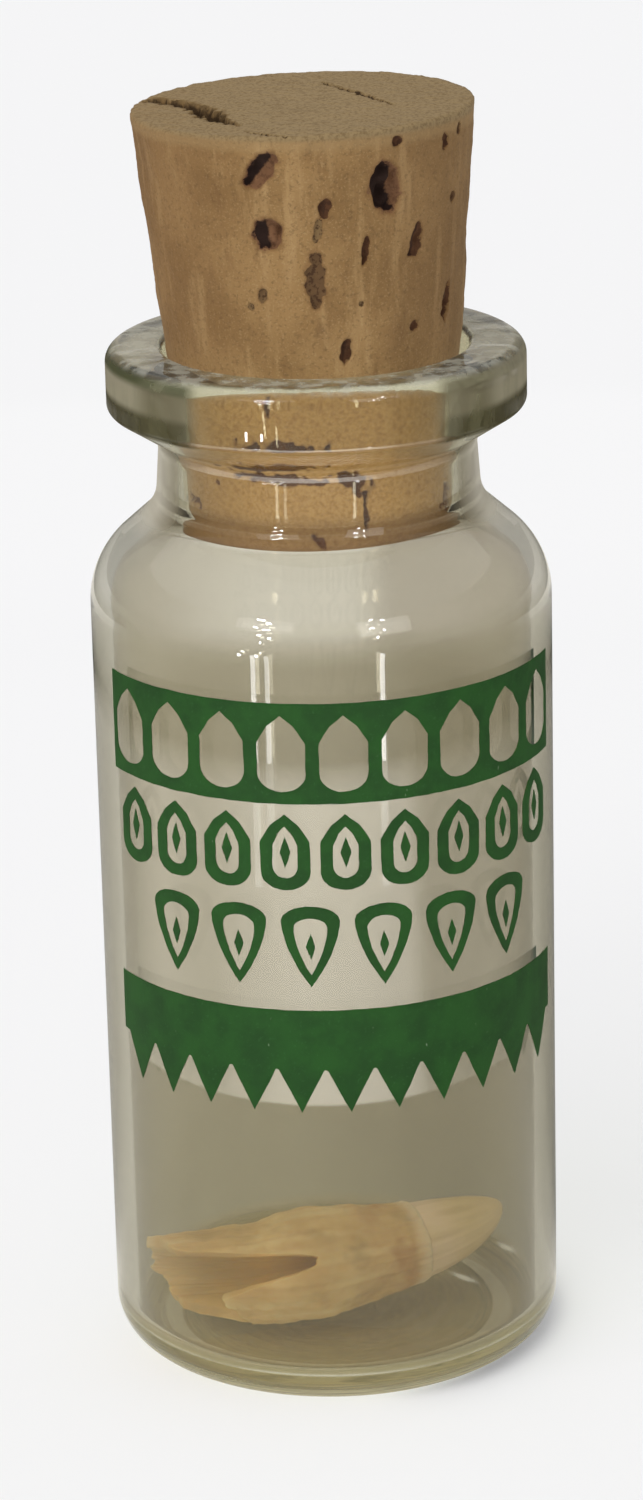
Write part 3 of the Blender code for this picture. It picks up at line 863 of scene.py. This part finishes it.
def tooth_finish():
    """Dry root cementum: dull, cream to ochre, stained orange at the collar, and browner in the hollow,
    stain with painted shade that deepens inward.
    """
    made, put, shader = finish_named(
        "root_cementum_dry", Roughness=0.62, Specular_IOR_Level=0.35, Subsurface_Weight=0.5,
        Subsurface_Scale=0.0008, Subsurface_Radius=(1.0, 0.72, 0.42)
    )
    plain = in_millimetres(put)
    along = put("attribute", attribute_name="along")
    patches = put("noise", plain, 0.45, 4.0, 0.6)
    stain = put("noise", in_millimetres(put, (0.5, 1.0, 1.0)), 0.55, 3.0, 0.6)
    fine = put("noise", plain, 3.0, 3.0, 0.65)
    base = washed(put, "D0AE72", (patches, 0.35, 0.65, 1.0, "DFC188"))
    base = put("mix", put("multiply", put("attribute", attribute_name="streak"), 0.5), base, "E8D29E")
    base = washed(put, base, (stain, 0.52, 0.68, 0.55, "A98D58"), (fine, 0.5, 0.8, 0.5, "BC924E"))
    collar = within(put, (along, 9.6, 11.8), (along, 13.9, 12.8), (patches, 0.42, 0.62, 0.05, 0.75))
    base = washed(put, put("mix", collar, base, "B8884A"), (along, 13.0, 13.8, 0.6, "F0DABB"))
    # The hollow is browner, partly stain and partly painted shade, more of it deeper in.
    base = put("mix", put("multiply", put("attribute", attribute_name="hollow"), 0.85), base, "C2A355")
    feed(shader.inputs["Base Color"], base)
    bumps = put("ShaderNodeBump", {"Strength": 0.35, "Distance": 0.06 * MM, "Height": fine})
    feed(shader.inputs["Normal"], bumps)
    return made


def crown_finish():
    """Dry enamel: satin, pinkish by the gum line and olive-cream to the worn tip."""
    made, put, shader = finish_named(
        "crown_enamel_dry", Roughness=0.38, Specular_IOR_Level=0.5, Coat_Weight=0.15, Coat_Roughness=0.25
    )
    patches = put("noise", in_millimetres(put), 0.7, 3.0, 0.55)
    along = put("attribute", attribute_name="along")
    base = washed(put, "EDD3B0", (along, 14.2, 16.6, 1.0, "E0C690"), (patches, 0.45, 0.7, 0.5, "E2CB9A"))
    base = put("mix", put("multiply", put("attribute", attribute_name="streak"), 0.35), base, "BCA26A")
    feed(shader.inputs["Base Color"], base)
    return made


ROOT_AROUND = 192


def make_root():
    turns = np.arange(ROOT_AROUND) * 2 * math.pi / ROOT_AROUND
    rim = rim_at(turns)
    collar = COLLAR_AT
    rows = [(np.full(ROOT_AROUND, collar + lift), np.full(ROOT_AROUND, size), 0.0)
            for lift, size in ((-0.25, 1.2), (-0.05, 1.75), (0.08, 1.98), (0.06, 2.07), (-0.06, 2.13))]
    outer_steps, lip_steps, inner_steps = 110, 4, 46
    for step in range(outer_steps + 1):
        distance = (collar - 0.25) * (1 - step / outer_steps) + (rim + 0.05) * step / outer_steps
        rows.append((distance, root_radius(distance), 0.0))
    for step in range(1, lip_steps):
        turn = math.pi * step / lip_steps
        radius = root_radius(rim) - 0.25 * (1 - math.cos(turn))
        rows.append((rim + 0.05 - 0.05 * math.sin(turn), radius, 0.5))
    for step in range(inner_steps):
        share = step / inner_steps
        distance = rim + 0.05 + (PULP_END - rim - 0.05) * share
        wall = 0.5 + 0.09 * (distance - rim)
        rows.append((distance, (root_radius(distance) - wall) * (1 - share) ** 0.7, 1.0))
    distance = np.concatenate([r[0] for r in rows])
    radius = np.concatenate([r[1] for r in rows])
    hollow = np.repeat([r[2] for r in rows], ROOT_AROUND)
    angle = np.tile(turns, len(rows))
    points = round_axis(distance, angle, radius)
    # Growth rings across the root, and fine grooves along it.
    rings = 0.02 * np.sin(distance * 3.1 + 0.6 * np.sin(angle * 2)) + 0.012 * np.sin(distance * 8.3 + angle)
    grooves = 0.018 * np.sin(angle * 23 + 1.3 * np.sin(distance * 0.7)) + 0.012 * np.sin(angle * 41 + 2)
    lumps = 0.05 * Lumps(11, 3.2).at(points) + 0.02 * Lumps(12, 0.9).at(points)
    relief = np.where(hollow > 0.75, -0.7, 1.0) * (rings + grooves + lumps)
    centre = round_axis(distance, angle, np.zeros(len(distance)))
    outward = points - centre
    length = np.maximum(np.linalg.norm(outward, axis=1), 0.05)
    points = points + outward * (relief * np.minimum(1.0, length))[:, None] / length[:, None]
    first = round_axis(np.array([collar - 0.3]), np.zeros(1), np.zeros(1))
    last = round_axis(np.array([PULP_END]), np.zeros(1), np.zeros(1))
    points = np.vstack((first, points, last)) * MM
    unrolled = np.column_stack((np.cos(angle) * 3, np.sin(angle) * 3, distance * 0.12))
    streak = eased(Lumps(13, 1.0).at(unrolled), 0.0, 1.4)
    # More of the hollow's colour deeper in, as painted shade.
    shade = hollow * (0.55 + 0.45 * eased(distance - np.tile(rim, len(rows)), 0.0, 4.0))
    values = {
        "along": np.concatenate(([collar], distance, [PULP_END])),
        "hollow": np.concatenate(([0], shade, [1])),
        "streak": np.concatenate(([0], streak, [0])),
    }
    faces = woven_faces(len(rows), ROOT_AROUND)
    root = mesh_object("tooth_root_hollow", points, faces, tooth_finish(), values=values)
    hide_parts("tooth_root")
    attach(root, "root")


def make_crown():
    around, steps = 144, 70
    turns = np.arange(around) * 2 * math.pi / around
    start = COLLAR_AT - 0.12
    length = AXIS_LENGTH - start
    rows = []
    for step in range(steps):
        share = math.sin(step / steps * math.pi / 2)
        rows.append((start + length * share, CROWN_RADIUS * (1 - share**1.6) ** 0.6))
    distance = np.repeat([r[0] for r in rows], around)
    radius = np.repeat([r[1] for r in rows], around)
    angle = np.tile(turns, len(rows))
    fade = 1 - eased(distance, AXIS_LENGTH - 1.5, AXIS_LENGTH)
    radius = radius * (1 + fade * (0.006 * np.sin(angle * 19 + 0.5) + 0.005 * np.sin(angle * 34)))
    points = round_axis(distance, angle, radius)
    first = round_axis(np.array([start]), np.zeros(1), np.zeros(1))
    points = np.vstack((first, points, AXIS_POINTS[-1:])) * MM
    unrolled = np.column_stack((np.cos(angle) * 2, np.sin(angle) * 2, distance * 0.15))
    streak = eased(Lumps(15, 0.8).at(unrolled), 0.0, 1.5)
    values = {
        "along": np.concatenate(([start], distance, [AXIS_LENGTH])),
        "streak": np.concatenate(([0], streak, [0])),
    }
    faces = [f[::-1] for f in woven_faces(len(rows), around)]
    crown = mesh_object("tooth_crown_enamel", points, faces, crown_finish(), values=values)
    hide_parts("tooth_crown")
    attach(crown, "root")


# Printing. One ink film on the front of the glass, of rows of plain motifs.

INK_CENTRE = math.radians(4.5)


def printing_tree():
    """Geometry nodes that repeat a flat motif along a row, thicken it and lay it round the glass."""
    inputs = (
        ("Motif", "Geometry", None), ("Count", "Int", None), ("Pitch", "Float", None),
        ("Height", "Float", None), ("Glass radius", "Float", None), ("Film", "Float", None),
        ("Splits", "Int", None), ("Ink", "Material", None),
    )
    tree, put = growing_tree("printed_row", "Printed", inputs)
    given = put("NodeGroupInput").node.outputs
    reach = put("multiply", put("subtract", given["Count"], 1.0), given["Pitch"])
    start = put("point", put("multiply", reach, -0.5), given["Height"])
    step = put("point", given["Pitch"])
    line = put("GeometryNodeMeshLine", {"Count": given["Count"], "Start Location": start, "Offset": step})
    row = put("GeometryNodeInstanceOnPoints", {"Points": line, "Instance": given["Motif"]})
    real = put("GeometryNodeRealizeInstances", {0: row})
    welded = put("GeometryNodeMergeByDistance", {"Geometry": real, "Distance": 0.004 * MM})
    split = put("GeometryNodeSubdivideMesh", {"Mesh": welded, "Level": given["Splits"]})
    # The edge of the ink wanders a little, as a screen leaves it.
    bleed = put("ShaderNodeTexNoise", {"Scale": 1.6 / MM, "Detail": 2.0}).node.outputs["Color"]
    drift = put("ShaderNodeVectorMath", {0: bleed, 1: (0.5, 0.5, 0.5)}, operation="SUBTRACT")
    drift = put("ShaderNodeVectorMath", {0: drift, 1: (0.10 * MM, 0.10 * MM, 0)}, operation="MULTIPLY")
    fine = put("GeometryNodeSetPosition", {"Geometry": split, "Offset": drift})
    lift = {"Mesh": fine, "Offset": (0, 0, 1), "Offset Scale": given["Film"], "Individual": False}
    joined = put("GeometryNodeJoinGeometry")
    for side in (put("GeometryNodeExtrudeMesh", lift), put("GeometryNodeFlipFaces", {"Mesh": fine})):
        feed(joined.node.inputs[0], side)
    closed = put("GeometryNodeMergeByDistance", {"Geometry": joined, "Distance": 0.002 * MM})
    x, height, film = put("ShaderNodeSeparateXYZ", {0: put("GeometryNodeInputPosition")}).node.outputs
    turn = put("add", put("divide", x, given["Glass radius"]), INK_CENTRE)
    radius = put("add", film, given["Glass radius"])
    back = put("multiply", put("multiply", put("cosine", turn), radius), -1.0)
    where = put("point", put("multiply", put("sine", turn), radius), back, height)
    wrapped = put("GeometryNodeSetPosition", {"Geometry": closed, "Position": where})
    whole = put("GeometryNodeRealizeInstances", {0: wrapped})
    dressed = put("GeometryNodeSetMaterial", {"Geometry": whole, "Material": given["Ink"]})
    put("NodeGroupOutput", {"Printed": dressed})
    return tree


def flat_motif(points, faces):
    """A flat motif in millimetres, seen from the front."""
    mesh = bpy.data.meshes.new("motif")
    mesh.from_pydata([(x * MM, y * MM, 0.0) for x, y in points], [], faces)
    return placed("motif", mesh)


def strip(width, height, columns=48):
    """A bar, in columns narrow enough to bend round the glass."""
    xs = [width * (k / columns - 0.5) for k in range(columns + 1)]
    points = [(x, y) for x in xs for y in (-height / 2, height / 2)]
    return points, [(2 * k, 2 * k + 2, 2 * k + 3, 2 * k + 1) for k in range(columns)]


def fan(outline):
    """A filled outline, fanned from its middle."""
    middle = (sum(x for x, _ in outline) / len(outline), sum(y for _, y in outline) / len(outline))
    count = len(outline)
    return [middle, *outline], [(0, 1 + k, 1 + (k + 1) % count) for k in range(count)]


def ring(outline, inner):
    """The flat band between an outline and a second one inside it, of as many points."""
    count = len(outline)
    following = [(k + 1) % count for k in range(count)]
    return [*outline, *inner], [(k, n, count + n, count + k) for k, n in enumerate(following)]


def hollow(outline, line):
    """An outline drawn as a line of one width, as nearly as shrinking it gives."""
    wide = max(abs(x) for x, _ in outline)
    high = max(abs(y) for _, y in outline)
    return ring(outline, [(x * (1 - line / wide), y * (1 - line / high)) for x, y in outline])


def framed(outline, width, height):
    """A filled rectangle with an outline cut out of it. Its corners are where the outline points to."""
    box = []
    for x, y in outline:
        box.append((max(-width / 2, min(width / 2, 2.6 * x)), max(-height / 2, min(height / 2, 2.6 * y))))
    return ring(box, outline)


def scute(width, height, steps=12):
    """A plate with a round foot and a low peak, as on a reptile's back. Its points run anticlockwise."""
    half = width / 2
    turns = [math.pi * k / steps for k in range(steps + 1)]
    foot = [(-half * math.cos(turn), -height * 0.26 - height * 0.24 * math.sin(turn)) for turn in turns]
    right = [(half, height * (0.1 * k - 0.16)) for k in range(4)]
    peak = [(half * 0.55, height * 0.36), (0, height / 2), (-half * 0.55, height * 0.36)]
    left = [(-x, y) for x, y in reversed(right)]
    return [*foot, *right, *peak, *left]


def fang(width, height, steps=9):
    """A tooth with its point down: a round top, and sides that swell before they meet."""
    half = width / 2
    crown = [(half * math.cos(math.pi * k / steps), height * (0.32 + 0.18 * math.sin(math.pi * k / steps)))
             for k in range(steps + 1)]
    shares = [k / steps for k in range(1, steps)]
    left = [(-half * (1 - s**1.7), height * (0.32 - 0.82 * s)) for s in shares]
    right = [(-x, y) for x, y in reversed(left)]
    return [*crown, *left, (0, -height / 2), *right]


def keel(width, height):
    """A slim lozenge."""
    return fan([(-width / 2, 0), (0, -height / 2), (width / 2, 0), (0, height / 2)])


def together(*shapes):
    """Flat shapes as one motif."""
    points, faces = [], []
    for more, joins in shapes:
        faces += [tuple(index + len(points) for index in face) for face in joins]
        points += more
    return points, faces


def ink_finish():
    """Fired ceramic ink, screen printed: deep green, a little patchy, nearly matt, specked by wear."""
    made, put, shader = finish_named("green_ceramic_ink", Roughness=0.6, Specular_IOR_Level=0.12)
    plain = in_millimetres(put)
    patches = put("noise", plain, 0.6, 3.0, 0.6)
    specks = put("noise", plain, 7.0, 2.0, 0.7)
    worn = put("noise", in_millimetres(put, (1.0, 1.0, 0.45)), 2.1, 4.0, 0.7)
    base = washed(
        put, "1A3F17",
        (patches, 0.3, 0.7, 1.0, "204C1B"),
        (specks, 0.60, 0.72, 0.4, "2E5C2E"),
        (worn, 0.70, 0.74, 0.6, "8FA283"),
    )
    feed(shader.inputs["Base Color"], base)
    # The film is thin, and most of the light that falls on it goes through.
    pass_light(put, made, shader.outputs[0], put("ShaderNodeBsdfTransparent"), 0.7)
    return made


def make_print():
    tree = printing_tree()
    ink = ink_finish()
    across = 2 * math.radians(68) * BODY_RADIUS
    cell = across / 9
    window = framed(scute(cell * 0.78, 3.7), cell, 4.85)
    plate = together(hollow(scute(2.35, 3.7), 0.58), keel(0.5, 1.5))
    tooth = together(hollow(fang(2.75, 4.0), 0.58), keel(0.45, 1.3))
    # name, motif, count, pitch, height on the glass, times each motif is split
    rows = (
        ("window_band", window, 9, cell, 33.35, 1),
        ("scutes", plate, 9, 2.82, 28.55, 1),
        ("fangs", tooth, 6, 3.45, 23.9, 1),
        ("band_solid", strip(across, 3.0), 1, 0, 19.2, 1),
        ("band_teeth", fan([(-1.1, 0), (0, -2.2), (1.1, 0)]), 11, 2.3, 17.75, 2),
    )
    for name, (points, faces), count, pitch, height, splits in rows:
        values = {
            "Count": count,
            "Pitch": pitch * MM,
            "Height": height * MM,
            "Glass radius": (BODY_RADIUS - 0.03) * MM,
            "Film": 0.06 * MM,
            "Splits": splits,
            "Ink": ink,
        }
        row = grown("print_" + name, flat_motif(points, faces), tree, values)
        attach(row, "root")


def main():
    place_camera()
    place_floor()
    light_studio()
    make_bottle()
    make_cork()
    make_root()
    make_crown()
    make_print()


main()
